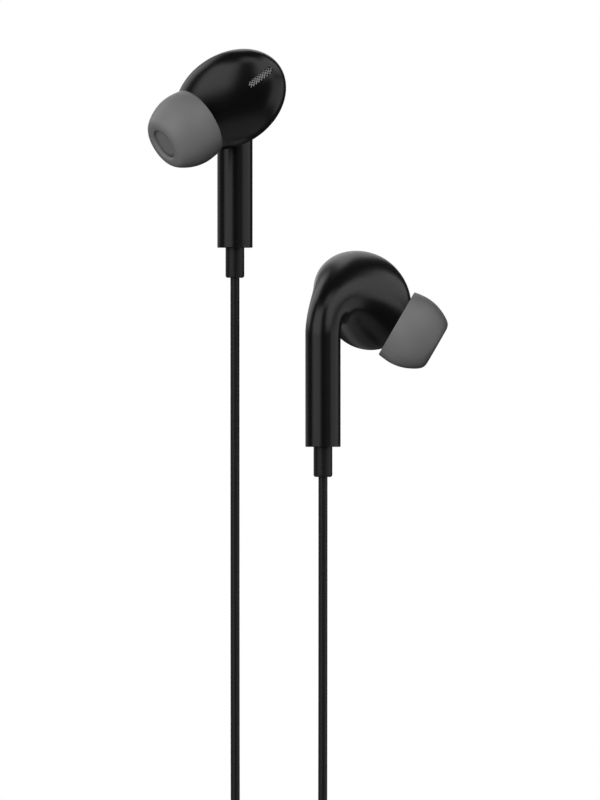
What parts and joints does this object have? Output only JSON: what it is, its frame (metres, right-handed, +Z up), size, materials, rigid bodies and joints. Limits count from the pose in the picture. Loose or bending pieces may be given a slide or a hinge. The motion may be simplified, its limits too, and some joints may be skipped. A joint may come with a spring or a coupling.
{
  "type": "wired earphones",
  "caption": "Wired in-ear earphones: hollow stemmed buds with silicone tips, vented shells and tiny loudspeakers, joined by a forked cord to a jack plug.",
  "frame": {"origin": "middle of the left ear tip's back rim, where the left bud is held in the ear", "axes": "+X to the right as seen by someone facing the earphones, +Y away from them, +Z up; the buds hang one lower than the other with their stems upright and the cord falls straight down"},
  "size_m": [0.0618, 0.0406, 0.2245],
  "materials": {
    "gloss_shell": "glossy injection-moulded black",
    "steel_mesh": "woven stainless wire",
    "foam": "open-cell damping foam",
    "silicone": "translucent dark grey silicone, satin",
    "frame_plastic": "moulded, matt",
    "plated_steel": "zinc plated",
    "magnet": "nickel plated",
    "copper": "enamelled copper wire",
    "film": "thin clear polymer film",
    "board": "solder-masked laminate",
    "soft_relief": "soft moulded elastomer, satin",
    "cord_jacket": "smooth black elastomer jacket",
    "lead_jacket": "thin enamel",
    "tie": "flat plastic band",
    "contact_metal": "plated, polished",
    "insulator": "moulded, matt"
  },
  "bodies": {
    "earphones": {"left_rear_housing": "gloss_shell", "left_front_housing": "gloss_shell", "left_vent_mesh": "steel_mesh", "left_nozzle_mesh": "steel_mesh", "left_nozzle_foam": "foam", "left_driver_frame": "frame_plastic", "left_yoke": "plated_steel", "left_magnet": "magnet", "left_top_plate": "plated_steel", "left_surround": "film", "left_driver_cover": "steel_mesh", "left_baffle": "frame_plastic", "left_terminal_board": "board", "left_strain_relief": "soft_relief", "left_cable_end": "cord_jacket", "left_leads": "lead_jacket", "left_branch_cord": "cord_jacket", "left_branch_coil": "cord_jacket", "left_splitter_lead": "cord_jacket", "left_coil_tie": "tie", "right_rear_housing": "gloss_shell", "right_front_housing": "gloss_shell", "right_vent_mesh": "steel_mesh", "right_nozzle_mesh": "steel_mesh", "right_nozzle_foam": "foam", "right_driver_frame": "frame_plastic", "right_yoke": "plated_steel", "right_magnet": "magnet", "right_top_plate": "plated_steel", "right_surround": "film", "right_driver_cover": "steel_mesh", "right_baffle": "frame_plastic", "right_terminal_board": "board", "right_strain_relief": "soft_relief", "right_cable_end": "cord_jacket", "right_leads": "lead_jacket", "right_branch_cord": "cord_jacket", "right_branch_coil": "cord_jacket", "right_splitter_lead": "cord_jacket", "right_coil_tie": "tie", "y_splitter": "soft_relief", "main_cord": "cord_jacket", "main_coil": "cord_jacket", "main_coil_tie": "tie", "plug_lead": "cord_jacket", "plug_strain_relief": "soft_relief", "plug_grip": "soft_relief", "plug_sleeve_contact": "contact_metal", "plug_ring_contact": "contact_metal", "plug_tip_contact": "contact_metal", "plug_insulators": "insulator"},
    "left_tip": {"left_ear_tip": "silicone"},
    "left_diaphragm": {"left_voice_coil": "copper", "left_cone": "film"},
    "right_tip": {"right_ear_tip": "silicone"},
    "right_diaphragm": {"right_voice_coil": "copper", "right_cone": "film"}
  },
  "joints": [
    {"name": "left_tip_slide", "type": "slide", "parent": "earphones", "child": "left_tip", "axis": [-0.75, -0.433, -0.5], "range_m": [0, 0.006]},
    {"name": "left_diaphragm_slide", "type": "slide", "parent": "earphones", "child": "left_diaphragm", "axis": [-0.1446, -0.956, -0.2554], "range_m": [-0.0002, 0.0002], "stiffness_N_per_m": 200},
    {"name": "right_tip_slide", "type": "slide", "parent": "earphones", "child": "right_tip", "axis": [0.866, 0, -0.5], "range_m": [0, 0.006]},
    {"name": "right_diaphragm_slide", "type": "slide", "parent": "earphones", "child": "right_diaphragm", "axis": [0.6032, 0.7556, -0.2554], "range_m": [-0.0002, 0.0002], "stiffness_N_per_m": 200}
  ]
}
